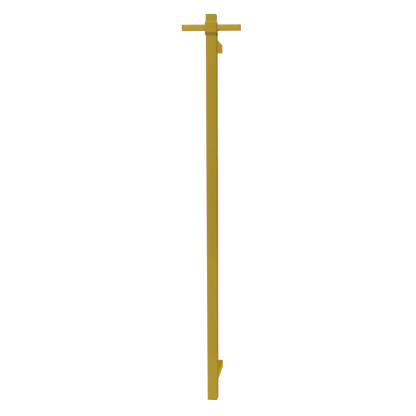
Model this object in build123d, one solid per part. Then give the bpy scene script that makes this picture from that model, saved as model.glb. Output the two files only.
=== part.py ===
"""Vertical single-bar heated towel rail with a T hanger that lifts off its tongue.

Millimetres, +Z up, front towards -Y. The origin is the centre of the wall fixings: on the wall
(Y = 0), in the bar's middle plane (X = 0), half way between the two wall screw holes.
"""
import os

from build123d import *

# Overall sizes
RAIL_HEIGHT = 950.0
RAIL_DEPTH = 100.0            # wall to the bar's front face
HANGER_SPAN = 140.0
BAR_WIDTH = 25.0              # square tube
BAR_WALL = 1.5
BAR_EDGE_R = 1.0
FIXING_PITCH = 828.0          # height between the two wall screw holes
LOWER_FIXING_HEIGHT = 56.0    # bar's foot to the lower fixing
FIT = 0.05                    # gap between pieces that are fitted together
SLIDE_FIT = 0.1               # gap of the lifting hanger on its tongue

# Bar ends
END_PLATE = 2.0
SEAL_THICK = 0.4
SEAL_INSET = 0.2
HEAD_PLUG_DEPTH = 9.0         # stops short of the upper bracket's rivet nut
FOOT_PLUG_DEPTH = 12.0
PLUG_WALL = 2.5
PLUG_FLOOR = 2.0
CAP_SCREW_HEIGHT = 9.0

# Tongue, seat ring and hanger
TONGUE_DEPTH = 14.0
TONGUE_HEIGHT = 47.5
TONGUE_CHAMFER = 0.3
RING_HEIGHT = 4.5
COLLAR_HEIGHT = 26.6
COLLAR_SIDE = 2.0             # how far the collar stands out from the bar's sides
COLLAR_FRONT = 2.0            # and from its front
COLLAR_BACK = 3.0             # thicker at the back, for the set screw's thread
COLLAR_EDGE_R = 1.6
COLLAR_TAPER = 1.3            # how far the collar's top draws in
COLLAR_TAPER_HEIGHT = 4.0
COLLAR_RIM_HEIGHT = 4.6       # narrower top of the bore, which keeps the liner in
COLLAR_RIM_CLEAR = 0.2
LINER_WALL = 0.6
LINER_SHORT = 0.5             # the liner ends this far inside the collar's foot
ARM_SIZE = 13.0
ARM_WALL = 1.2
ARM_EDGE_R = 0.8
ARM_AXIS_HEIGHT = 12.35       # above the collar's lower edge
ARM_CAP_SIZE = 13.8
ARM_CAP_THICK = 1.5
ARM_CAP_PLUG = 8.0
SPIGOT_LENGTH = 14.0
SPIGOT_ROOT = 0.5             # overlap with the collar's wall

# Wall brackets
SLEEVE_HEIGHT = 20.5
SLEEVE_WALL = 1.5
SLEEVE_END = 4.0
SLEEVE_WALL_GAP = 0.6         # the sleeve stops just short of the wall
ANCHOR_DEPTH = 20.0
ANCHOR_CLEAR = 0.2
WALL_HOLE_R = 2.75
HEAD_POCKET_R = 5.2
HEAD_POCKET_DEPTH = 12.0
GRUB_FROM_WALL = 10.0
GRUB_HOLE = 3.0               # tapped through the sleeve's floor and into the anchor

# Fasteners
M4_R = 2.0
M4_SOCKET_R = 1.1
M4_SOCKET_DEPTH = 1.6
M6_R = 3.0
M6_CLEAR = 0.2
M6_HEAD_R = 5.0
M6_HEAD = 6.0
M6_LENGTH = 18.0
M6_SOCKET_R = 2.9
M6_SOCKET_DEPTH = 3.2
ARM_SCREW_LENGTH = 4.5
BRACKET_SCREW_LENGTH = 3.4
WASHER_R = 5.4
WASHER = 1.4
NUT_BODY_R = 4.4
NUT_BULGE_R = 5.1
NUT_BULGE = 2.2
NUT_LENGTH = 11.0
NUT_FLANGE = 0.7
NUT_FLANGE_ROOM = 1.2         # depth left for the flange in the sleeve, beyond its thickness

# Heating element and lead
CABLE_R = 2.0
CABLE_X = 6.0
CABLE_TOP = 868.0             # heights above the bar's foot
CABLE_FOOT = 110.0
CARRIER_THICK = 1.2
CARRIER_WIDTH = 19.0
CARRIER_FOOT = 36.0
CARRIER_TOP = 880.0
CLIP_COUNT = 8
CLIP_HEIGHT = 8.0
CLIP_FOOT_GAP = 60.0          # from the cable's lower ends to the lowest clip
CLIP_TOP_GAP = 42.0           # from the highest clip's lower edge to the cable's turn
CLIP_DEPTH = 5.2
SPLICE_HEIGHT = 26.0
SPLICE_DEPTH = 8.0
SPLICE_EDGE_R = 1.0
CUTOUT_HEIGHT = 14.0
CUTOUT_WIDTH = 6.0
CUTOUT_DEPTH = 4.6
CUTOUT_EDGE_R = 0.8
SPRING_COUNT = 4
SPRING_CHORD = 76.0
SPRING_WIDTH = 6.0
SPRING_THICK = 0.5
LEAD_X = 8.2
LEAD_CLEAR = 0.3
LEAD_BEND_R = 13.0
LEAD_HOLE_R = 2.6
GROMMET_LIP = 0.8
GLAND_DEPTH = 5.0
OVERRUN = 1.0                 # how far a cutting tool runs past the faces that it cuts

# Places worked out from the sizes
FOOT = -FIXING_PITCH / 2 - LOWER_FIXING_HEIGHT
TOP = FOOT + RAIL_HEIGHT
SHOULDER = TOP - TONGUE_HEIGHT
FRONT = -RAIL_DEPTH
BACK = FRONT + BAR_WIDTH
HALF = BAR_WIDTH / 2
TUBE_FOOT = FOOT + END_PLATE + SEAL_THICK
TUBE_TOP = SHOULDER - END_PLATE - SEAL_THICK
BORE_HALF = HALF - BAR_WALL
PLUG_HALF = BORE_HALF - FIT
FIXINGS = {"upper": FIXING_PITCH / 2, "lower": -FIXING_PITCH / 2}
COLLAR_FOOT = SHOULDER + RING_HEIGHT + FIT
COLLAR_TOP = COLLAR_FOOT + COLLAR_HEIGHT
COLLAR_HALF = HALF + COLLAR_SIDE
COLLAR_Y = (FRONT - COLLAR_FRONT, FRONT + TONGUE_DEPTH + COLLAR_BACK)
LINER_BORE = (HALF + SLIDE_FIT, FRONT - SLIDE_FIT, FRONT + TONGUE_DEPTH + SLIDE_FIT)
LINER_Z = (COLLAR_FOOT + LINER_SHORT, COLLAR_TOP - COLLAR_RIM_HEIGHT)
ARM_Y = sum(COLLAR_Y) / 2
ARM_Z = COLLAR_FOOT + ARM_AXIS_HEIGHT
ARM_ROOT = COLLAR_HALF
ARM_END = HANGER_SPAN / 2 - ARM_CAP_THICK
ARM_BORE_HALF = ARM_SIZE / 2 - ARM_WALL
CARRIER_Y = FRONT + BAR_WALL + FIT
CABLE_Y = CARRIER_Y + CARRIER_THICK + FIT + CABLE_R
LEAD_Y = CARRIER_Y + CARRIER_THICK + SPLICE_DEPTH / 2
SPLICE_FOOT = CABLE_FOOT - SPLICE_HEIGHT
CLIP_FOOT = FOOT + CABLE_FOOT + CLIP_FOOT_GAP
CLIP_PITCH = (CABLE_TOP - CABLE_FOOT - CLIP_FOOT_GAP - CLIP_TOP_GAP) / (CLIP_COUNT - 1)


def span(x, y, z):
    """A block between two values on each axis."""
    size = [high - low for low, high in (x, y, z)]
    middle = [(high + low) / 2 for low, high in (x, y, z)]
    return Pos(*middle) * Box(*size)


def rod(radius, start, length, axis):
    """A round bar that begins at start and runs along axis, which is a unit vector."""
    plane = Plane(origin=start, z_dir=axis)
    return plane * Cylinder(radius, length, align=(Align.CENTER, Align.CENTER, Align.MIN))


def soften(solid, axis, radius):
    """Rounds the edges that run along axis."""
    return fillet(solid.edges().filter_by(axis), radius)


def hexagon(radius, start, depth, axis):
    """A hexagonal bar, its corners on radius, that begins at start and runs along axis."""
    return Plane(origin=start, z_dir=axis) * extrude(RegularPolygon(radius, 6), depth)


def set_screw(start, length, axis):
    """An M4 headless screw with a hexagon socket in the end at start."""
    return rod(M4_R, start, length, axis) - hexagon(M4_SOCKET_R, start, M4_SOCKET_DEPTH, axis)


def through_wall(radius, x, height):
    """A tool along Y that cuts a round hole in the tube's back wall."""
    return rod(radius, (x, BACK - 2 * BAR_WALL, height), 3 * BAR_WALL, (0, 1, 0))


# The bar and its ends

def bar_tube():
    """The square tube, open at both ends, with its holes in the back wall."""
    outer = soften(span((-HALF, HALF), (FRONT, BACK), (TUBE_FOOT, TUBE_TOP)), Axis.Z, BAR_EDGE_R)
    bore = span((-BORE_HALF, BORE_HALF), (FRONT + BAR_WALL, BACK - BAR_WALL), (FOOT, TOP))
    tube = outer - bore
    for height in FIXINGS.values():
        tube -= through_wall(NUT_BODY_R + FIT, 0, height)
    tube -= through_wall(LEAD_HOLE_R, LEAD_X, FIXINGS["lower"])
    return tube - through_wall(M4_R + FIT, 0, FOOT + CAP_SCREW_HEIGHT)


def collar_outline(z):
    """A block with the collar's outline, its upright edges rounded, between two heights."""
    return soften(span((-COLLAR_HALF, COLLAR_HALF), COLLAR_Y, z), Axis.Z, COLLAR_EDGE_R)


def bar_head():
    """Closes the tube's upper end: plug, end plate and the tongue that carries the hanger."""
    plate = span((-HALF, HALF), (FRONT, BACK), (SHOULDER - END_PLATE, SHOULDER))
    tongue = span((-HALF, HALF), (FRONT, FRONT + TONGUE_DEPTH), (SHOULDER, TOP))
    tongue = chamfer(tongue.faces().sort_by(Axis.Z)[-1].edges(), TONGUE_CHAMFER)
    plug_y = (FRONT + BAR_WALL + FIT, BACK - BAR_WALL - FIT)
    plug_z = (TUBE_TOP - HEAD_PLUG_DEPTH, SHOULDER - END_PLATE)
    plug = span((-PLUG_HALF, PLUG_HALF), plug_y, plug_z)
    pocket_y = (plug_y[0] + PLUG_WALL, plug_y[1] - PLUG_WALL)
    pocket_half = PLUG_HALF - PLUG_WALL
    pocket = span((-pocket_half, pocket_half), pocket_y, (plug_z[0], plug_z[1] - PLUG_FLOOR))
    return soften(plate, Axis.Z, BAR_EDGE_R) + tongue + (plug - pocket)


def bottom_cap():
    """Closes the tube's foot, held by one set screw through the back wall."""
    plate = span((-HALF, HALF), (FRONT, BACK), (FOOT, FOOT + END_PLATE))
    plate = soften(plate, Axis.Z, BAR_EDGE_R)
    plug_y = (FRONT + BAR_WALL + FIT, BACK - BAR_WALL - FIT)
    plug_top = TUBE_FOOT + FOOT_PLUG_DEPTH
    plug = span((-PLUG_HALF, PLUG_HALF), plug_y, (FOOT + END_PLATE, plug_top))
    pocket_half = PLUG_HALF - PLUG_WALL
    pocket_y = (plug_y[0] + PLUG_WALL, plug_y[1] - PLUG_WALL)
    pocket_z = (FOOT + END_PLATE + PLUG_FLOOR, plug_top)
    pocket = span((-pocket_half, pocket_half), pocket_y, pocket_z)
    screw_start = (0, plug_y[1] - 2 * PLUG_WALL, FOOT + CAP_SCREW_HEIGHT)
    return plate + (plug - pocket) - rod(M4_R + FIT, screw_start, 3 * PLUG_WALL, (0, 1, 0))


def bottom_cap_screw():
    """Set screw, flush with the tube's back, that holds the bottom cap."""
    return set_screw((0, BACK, FOOT + CAP_SCREW_HEIGHT), BAR_WALL + PLUG_WALL, (0, -1, 0))


def end_seal(low):
    """A thin square gasket between an end plate and the tube."""
    half = HALF - SEAL_INSET
    y = (FRONT + SEAL_INSET, BACK - SEAL_INSET)
    seal = soften(span((-half, half), y, (low, low + SEAL_THICK)), Axis.Z, BAR_EDGE_R)
    hole_y = (FRONT + BAR_WALL, BACK - BAR_WALL)
    hole_z = (low - OVERRUN, low + SEAL_THICK + OVERRUN)
    return seal - span((-BORE_HALF, BORE_HALF), hole_y, hole_z)


def seat_ring():
    """Ring round the tongue's foot that the hanger rests on."""
    ring = collar_outline((SHOULDER, SHOULDER + RING_HEIGHT))
    hole_y = (FRONT - FIT, FRONT + TONGUE_DEPTH + FIT)
    hole_z = (SHOULDER - OVERRUN, SHOULDER + RING_HEIGHT + OVERRUN)
    return ring - span((-HALF - FIT, HALF + FIT), hole_y, hole_z)


# The hanger

def arm_section(side, size, x_low, x_high):
    """A square length of arm, size across, on the +X (side 1) or -X (side -1) half."""
    x = sorted((side * x_low, side * x_high))
    return span(x, (ARM_Y - size / 2, ARM_Y + size / 2), (ARM_Z - size / 2, ARM_Z + size / 2))


def arm_screw_start(side):
    """Where an arm's set screw begins, on the arm's underside."""
    return (side * (ARM_ROOT + SPIGOT_LENGTH / 2), ARM_Y, ARM_Z - ARM_SIZE / 2)


def hanger_collar():
    """The collar that drops over the tongue, with a spigot for each arm."""
    collar = collar_outline((COLLAR_FOOT, COLLAR_TOP))
    top = collar.faces().sort_by(Axis.Z)[-1]
    collar = chamfer(top.edges(), COLLAR_TAPER, COLLAR_TAPER_HEIGHT, reference=top)
    for side in (-1, 1):
        spigot_x = (ARM_ROOT - SPIGOT_ROOT, ARM_ROOT + SPIGOT_LENGTH)
        spigot = arm_section(side, 2 * (ARM_BORE_HALF - FIT), *spigot_x)
        collar += spigot - rod(M4_R + FIT, arm_screw_start(side), ARM_SIZE / 2, (0, 0, 1))
    half, low, high = LINER_BORE
    grow = LINER_WALL + FIT
    bore_z = (COLLAR_FOOT - OVERRUN, LINER_Z[1] + FIT)
    collar -= span((-half - grow, half + grow), (low - grow, high + grow), bore_z)
    rim_x = (-HALF - COLLAR_RIM_CLEAR, HALF + COLLAR_RIM_CLEAR)
    rim_y = (FRONT - COLLAR_RIM_CLEAR, FRONT + TONGUE_DEPTH + COLLAR_RIM_CLEAR)
    collar -= span(rim_x, rim_y, (COLLAR_FOOT, COLLAR_TOP + OVERRUN))
    return collar - rod(M4_R + FIT, (0, high, ARM_Z), 2 * COLLAR_BACK, (0, 1, 0))


def hanger_liner():
    """Slippery sleeve inside the collar, so that the hanger doesn't scratch the tongue."""
    half, low, high = LINER_BORE
    outer_x, outer_y = (-half - LINER_WALL, half + LINER_WALL), (low - LINER_WALL, high + LINER_WALL)
    outer = span(outer_x, outer_y, LINER_Z)
    bore = span((-half, half), (low, high), (LINER_Z[0] - OVERRUN, LINER_Z[1] + OVERRUN))
    return outer - bore - rod(M4_R + FIT, (0, high - OVERRUN, ARM_Z), 2 * COLLAR_BACK, (0, 1, 0))


def hanger_set_screw():
    """Set screw in the collar's back that clamps the hanger on the tongue."""
    return set_screw((0, COLLAR_Y[1], ARM_Z), COLLAR_BACK - 2 * SLIDE_FIT, (0, -1, 0))


def hanger_arm(side):
    """One arm: a short square tube pushed over the collar's spigot."""
    arm = soften(arm_section(side, ARM_SIZE, ARM_ROOT, ARM_END), Axis.X, ARM_EDGE_R)
    arm -= arm_section(side, 2 * ARM_BORE_HALF, ARM_ROOT - OVERRUN, ARM_END + OVERRUN)
    x, y, z = arm_screw_start(side)
    return arm - rod(M4_R + FIT, (x, y, z - OVERRUN), 2 * ARM_WALL + OVERRUN, (0, 0, 1))


def arm_cap(side):
    """End cap of one arm, its plate a little proud of the arm all round."""
    plate = arm_section(side, ARM_CAP_SIZE, ARM_END, HANGER_SPAN / 2)
    plate = soften(plate, Axis.X, ARM_EDGE_R)
    return plate + arm_section(side, 2 * (ARM_BORE_HALF - FIT), ARM_END - ARM_CAP_PLUG, ARM_END)


def arm_set_screws():
    """The two set screws under the arms, as separate solids."""
    up = (0, 0, 1)
    screws = [set_screw(arm_screw_start(side), ARM_SCREW_LENGTH, up) for side in (-1, 1)]
    return Compound(children=screws)


# The wall brackets

def bracket_sleeve(place):
    """Rectangular sleeve from the bar's back to the wall, closed by a bolting plate at the bar."""
    middle = FIXINGS[place]
    half_height = SLEEVE_HEIGHT / 2
    z = (middle - half_height, middle + half_height)
    sleeve = soften(span((-HALF, HALF), (BACK, -SLEEVE_WALL_GAP), z), Axis.Y, BAR_EDGE_R)
    inner_z = (z[0] + SLEEVE_WALL, z[1] - SLEEVE_WALL)
    inner_half = HALF - SLEEVE_WALL
    sleeve -= span((-inner_half, inner_half), (BACK + SLEEVE_END, OVERRUN), inner_z)
    start = (0, BACK - OVERRUN, middle)
    sleeve -= rod(M6_R + M6_CLEAR, start, 2 * SLEEVE_END, (0, 1, 0))
    sleeve -= rod(NUT_BULGE_R + M6_CLEAR, start, NUT_FLANGE + NUT_FLANGE_ROOM, (0, 1, 0))
    sleeve -= rod(M4_R + FIT, (0, -GRUB_FROM_WALL, z[0] - OVERRUN), GRUB_HOLE, (0, 0, 1))
    if place == "lower":
        lead_start = (LEAD_X, BACK - OVERRUN, middle)
        sleeve -= rod(CABLE_R + LEAD_CLEAR, lead_start, 2 * SLEEVE_END, (0, 1, 0))
    return sleeve


def wall_anchor(place):
    """Block screwed to the wall, which the sleeve slides over; the side slot lets the lead by."""
    middle = FIXINGS[place]
    half = HALF - SLEEVE_WALL - ANCHOR_CLEAR
    half_height = SLEEVE_HEIGHT / 2 - SLEEVE_WALL - ANCHOR_CLEAR
    z = (middle - half_height, middle + half_height)
    anchor = span((-half, half), (-ANCHOR_DEPTH, 0), z)
    start = (0, -ANCHOR_DEPTH - OVERRUN, middle)
    anchor -= rod(WALL_HOLE_R, start, ANCHOR_DEPTH + 2 * OVERRUN, (0, 1, 0))
    anchor -= rod(HEAD_POCKET_R, start, HEAD_POCKET_DEPTH + OVERRUN, (0, 1, 0))
    anchor -= rod(M4_R + FIT, (0, -GRUB_FROM_WALL, z[0] - OVERRUN), GRUB_HOLE, (0, 0, 1))
    reach = CABLE_R + LEAD_CLEAR
    slot_z = (middle - reach, middle + reach)
    return anchor - span((LEAD_X - reach, HALF), (start[1], OVERRUN), slot_z)


def bracket_bolts():
    """M6 socket head bolts that hold the sleeves to the bar, one in each sleeve."""
    bolts = []
    for height in FIXINGS.values():
        under_head = BACK + SLEEVE_END + WASHER
        shank = rod(M6_R - FIT, (0, under_head, height), M6_LENGTH, (0, -1, 0))
        head = rod(M6_HEAD_R, (0, under_head, height), M6_HEAD, (0, 1, 0))
        top = (0, under_head + M6_HEAD, height)
        bolts.append(shank + head - hexagon(M6_SOCKET_R, top, M6_SOCKET_DEPTH, (0, -1, 0)))
    return Compound(children=bolts)


def bracket_washers():
    """Washers under the bolt heads."""
    washers = []
    for height in FIXINGS.values():
        start = (0, BACK + SLEEVE_END, height)
        hole = rod(M6_R + M6_CLEAR, start, WASHER, (0, 1, 0))
        washers.append(rod(WASHER_R, start, WASHER, (0, 1, 0)) - hole)
    return Compound(children=washers)


def rivet_nuts():
    """Threaded rivet nuts set in the bar's back wall: flange outside, bulge inside."""
    nuts = []
    for height in FIXINGS.values():
        nut = rod(NUT_BODY_R, (0, BACK, height), NUT_LENGTH, (0, -1, 0))
        nut += rod(NUT_BULGE_R, (0, BACK, height), NUT_FLANGE, (0, 1, 0))
        nut += rod(NUT_BULGE_R, (0, BACK - BAR_WALL, height), NUT_BULGE, (0, -1, 0))
        bore_start = (0, BACK + OVERRUN, height)
        nuts.append(nut - rod(M6_R, bore_start, NUT_LENGTH + 2 * OVERRUN, (0, -1, 0)))
    return Compound(children=nuts)


def bracket_set_screws():
    """Set screws up through the sleeves' undersides that lock them to the wall anchors."""
    screws = []
    for height in FIXINGS.values():
        start = (0, -GRUB_FROM_WALL, height - SLEEVE_HEIGHT / 2)
        screws.append(set_screw(start, BRACKET_SCREW_LENGTH, (0, 0, 1)))
    return Compound(children=screws)


# The heating element and the lead inside

def element_carrier():
    """Aluminium strip against the front wall that spreads the heating cable's heat."""
    half = CARRIER_WIDTH / 2
    y = (CARRIER_Y, CARRIER_Y + CARRIER_THICK)
    return span((-half, half), y, (FOOT + CARRIER_FOOT, FOOT + CARRIER_TOP))


def heating_cable():
    """One heating cable that runs up the bar, turns over and comes down beside itself."""
    foot, bend = FOOT + CABLE_FOOT, FOOT + CABLE_TOP - CABLE_X
    up = Line((-CABLE_X, CABLE_Y, foot), (-CABLE_X, CABLE_Y, bend))
    turn = ThreePointArc((-CABLE_X, CABLE_Y, bend), (0, CABLE_Y, bend + CABLE_X),
                         (CABLE_X, CABLE_Y, bend))
    down = Line((CABLE_X, CABLE_Y, bend), (CABLE_X, CABLE_Y, foot))
    section = Plane(origin=(-CABLE_X, CABLE_Y, foot), z_dir=(0, 0, 1)) * Circle(CABLE_R)
    return sweep(section, path=Wire([up, turn, down]))


def cable_clips():
    """Moulded clips that hold both runs of the heating cable on the carrier."""
    clips = []
    back = CARRIER_Y + CARRIER_THICK
    half = CARRIER_WIDTH / 2
    for index in range(CLIP_COUNT):
        low = CLIP_FOOT + CLIP_PITCH * index
        clip = span((-half, half), (back, back + CLIP_DEPTH), (low, low + CLIP_HEIGHT))
        channel_z = (low - OVERRUN, low + CLIP_HEIGHT + OVERRUN)
        for side in (-1, 1):
            x, wide = side * CABLE_X, CABLE_R + FIT
            clip -= rod(wide, (x, CABLE_Y, channel_z[0]), channel_z[1] - channel_z[0], (0, 0, 1))
            clip -= span((x - wide, x + wide), (back - OVERRUN, CABLE_Y), channel_z)
        clips.append(clip)
    return Compound(children=clips)


def carrier_springs():
    """Bowed leaf springs that press the carrier forward against the tube's front wall."""
    sag = BACK - BAR_WALL - CARRIER_Y - CARRIER_THICK - 4 * FIT
    radius = ((SPRING_CHORD / 2) ** 2 + sag ** 2) / (2 * sag)
    centre_y = BACK - BAR_WALL - 2 * FIT - radius
    springs = []
    for index in range(SPRING_COUNT):
        middle = CLIP_FOOT + CLIP_HEIGHT / 2 + CLIP_PITCH * (2 * index + 0.5)
        start = (-SPRING_WIDTH / 2, centre_y, middle)
        hoop = rod(radius, start, SPRING_WIDTH, (1, 0, 0))
        hoop -= rod(radius - SPRING_THICK, start, SPRING_WIDTH, (1, 0, 0))
        keep_y = (CARRIER_Y + CARRIER_THICK + 2 * FIT, BACK)
        keep_z = (middle - SPRING_CHORD, middle + SPRING_CHORD)
        springs.append(hoop & span((-SPRING_WIDTH, SPRING_WIDTH), keep_y, keep_z))
    return Compound(children=springs)


def splice_housing():
    """Sealed housing where the heating cable's two ends join the lead."""
    y = (CARRIER_Y + CARRIER_THICK, CARRIER_Y + CARRIER_THICK + SPLICE_DEPTH)
    housing = span((-CARRIER_WIDTH / 2, BORE_HALF - 2 * FIT), y,
                   (FOOT + SPLICE_FOOT, FOOT + CABLE_FOOT))
    return soften(housing, Axis.Z, SPLICE_EDGE_R)


def thermal_cutout():
    """Self-resetting thermal cut-out, seated on the carrier above the splice housing."""
    y = (CARRIER_Y + CARRIER_THICK, CARRIER_Y + CARRIER_THICK + CUTOUT_DEPTH)
    x = (-CUTOUT_WIDTH / 2, CUTOUT_WIDTH / 2)
    foot = FOOT + CABLE_FOOT
    return soften(span(x, y, (foot, foot + CUTOUT_HEIGHT)), Axis.Z, CUTOUT_EDGE_R)


def supply_lead():
    """Low-voltage lead from the splice, down the bar, back through the lower bracket to the wall."""
    lower = FIXINGS["lower"]
    route = [(LEAD_X, LEAD_Y, FOOT + SPLICE_FOOT), (LEAD_X, LEAD_Y, lower), (LEAD_X, 0, lower)]
    path = FilletPolyline(*route, radius=LEAD_BEND_R)
    section = Plane(origin=route[0], z_dir=(0, 0, -1)) * Circle(CABLE_R)
    return sweep(section, path=path)


def lead_grommet():
    """Rubber grommet that keeps the lead off the edge of its hole in the bar."""
    start = (LEAD_X, BACK, FIXINGS["lower"])
    grommet = rod(LEAD_HOLE_R - FIT, start, BAR_WALL + GROMMET_LIP, (0, -1, 0))
    return grommet - rod(CABLE_R + FIT / 2, start, 2 * BAR_WALL, (0, -1, 0))


def wall_gland():
    """Rubber gland in the lower anchor's slot, where the lead enters from the wall."""
    lower = FIXINGS["lower"]
    half = HALF - SLEEVE_WALL - ANCHOR_CLEAR
    reach = CABLE_R + LEAD_CLEAR - FIT
    gland = span((LEAD_X - reach, half), (-GLAND_DEPTH, 0), (lower - reach, lower + reach))
    bore_start = (LEAD_X, OVERRUN, lower)
    return gland - rod(CABLE_R + FIT / 2, bore_start, GLAND_DEPTH + 2 * OVERRUN, (0, -1, 0))


NODES = {
    "bar_tube": bar_tube(),
    "bar_head": bar_head(),
    "head_seal": end_seal(TUBE_TOP),
    "bottom_cap": bottom_cap(),
    "bottom_seal": end_seal(FOOT + END_PLATE),
    "bottom_cap_screw": bottom_cap_screw(),
    "seat_ring": seat_ring(),
    "hanger_collar": hanger_collar(),
    "hanger_liner": hanger_liner(),
    "hanger_set_screw": hanger_set_screw(),
    "hanger_arm_left": hanger_arm(-1),
    "hanger_arm_right": hanger_arm(1),
    "arm_cap_left": arm_cap(-1),
    "arm_cap_right": arm_cap(1),
    "arm_set_screws": arm_set_screws(),
    "bracket_sleeve_upper": bracket_sleeve("upper"),
    "bracket_sleeve_lower": bracket_sleeve("lower"),
    "wall_anchor_upper": wall_anchor("upper"),
    "wall_anchor_lower": wall_anchor("lower"),
    "bracket_bolts": bracket_bolts(),
    "bracket_washers": bracket_washers(),
    "rivet_nuts": rivet_nuts(),
    "bracket_set_screws": bracket_set_screws(),
    "element_carrier": element_carrier(),
    "heating_cable": heating_cable(),
    "cable_clips": cable_clips(),
    "carrier_springs": carrier_springs(),
    "splice_housing": splice_housing(),
    "thermal_cutout": thermal_cutout(),
    "supply_lead": supply_lead(),
    "lead_grommet": lead_grommet(),
    "wall_gland": wall_gland(),
}

os.makedirs("parts", exist_ok=True)
for name, shape in NODES.items():
    export_step(shape, f"parts/{name}.step")
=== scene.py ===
"""Heated towel rail with a lift-off T hanger: its finishes, eased metalwork, fittings and studio.

Metres, +Z up, front towards -Y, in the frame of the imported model, which gives every place.
"""

import logging
import math
from dataclasses import dataclass, field
from enum import Enum

import bmesh
import bpy
from mathutils import Matrix, Vector


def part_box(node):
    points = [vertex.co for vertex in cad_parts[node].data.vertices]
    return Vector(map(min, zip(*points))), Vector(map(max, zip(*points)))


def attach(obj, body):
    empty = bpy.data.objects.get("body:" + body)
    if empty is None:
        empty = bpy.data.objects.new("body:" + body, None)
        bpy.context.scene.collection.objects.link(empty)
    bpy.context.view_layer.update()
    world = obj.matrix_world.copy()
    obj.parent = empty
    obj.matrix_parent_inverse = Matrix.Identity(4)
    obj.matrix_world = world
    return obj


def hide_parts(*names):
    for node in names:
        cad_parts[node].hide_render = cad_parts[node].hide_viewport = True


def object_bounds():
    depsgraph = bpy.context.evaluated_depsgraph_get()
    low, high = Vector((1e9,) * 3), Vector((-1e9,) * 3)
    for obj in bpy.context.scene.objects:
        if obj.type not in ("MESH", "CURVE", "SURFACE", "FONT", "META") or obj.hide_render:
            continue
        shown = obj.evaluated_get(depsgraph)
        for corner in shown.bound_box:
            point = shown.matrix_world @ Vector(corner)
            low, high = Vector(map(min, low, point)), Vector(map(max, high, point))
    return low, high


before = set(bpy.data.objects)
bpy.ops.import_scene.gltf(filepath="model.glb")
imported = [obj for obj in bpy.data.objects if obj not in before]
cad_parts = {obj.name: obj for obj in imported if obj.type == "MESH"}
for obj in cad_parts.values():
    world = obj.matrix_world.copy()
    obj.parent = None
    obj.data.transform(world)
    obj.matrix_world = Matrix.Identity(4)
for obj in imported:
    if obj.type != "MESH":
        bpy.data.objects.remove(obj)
CAD_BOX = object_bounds()

Colour = tuple[float, float, float]
Triple = tuple[float, float, float]
Socket = bpy.types.NodeSocket

MM = 0.001
LINE_SHRINK = 0.014
HEXAGON = 6
NO_TURN = (0.0, 0.0, 0.0)
LOG = logging.getLogger("towel_rail")


class Body(Enum):
    """The two bodies of the rail: what is fixed to the wall, and what lifts off."""

    RAIL = "rail"
    HANGER = "hanger"


class Grain(Enum):
    """Way that a surface was brushed, rolled or drawn, as the axis that its lines follow."""

    UPRIGHT = "Z"
    SIDEWAYS = "X"
    INWARD = "Y"
    NONE = ""

    @property
    def stretch(self) -> tuple[float, float, float]:
        """How much a pattern shrinks on X, Y and Z: far along the grain, and not across it."""
        x, y, z = (LINE_SHRINK if axis == self.value else 1.0 for axis in "XYZ")
        return x, y, z


# Finishes


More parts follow.
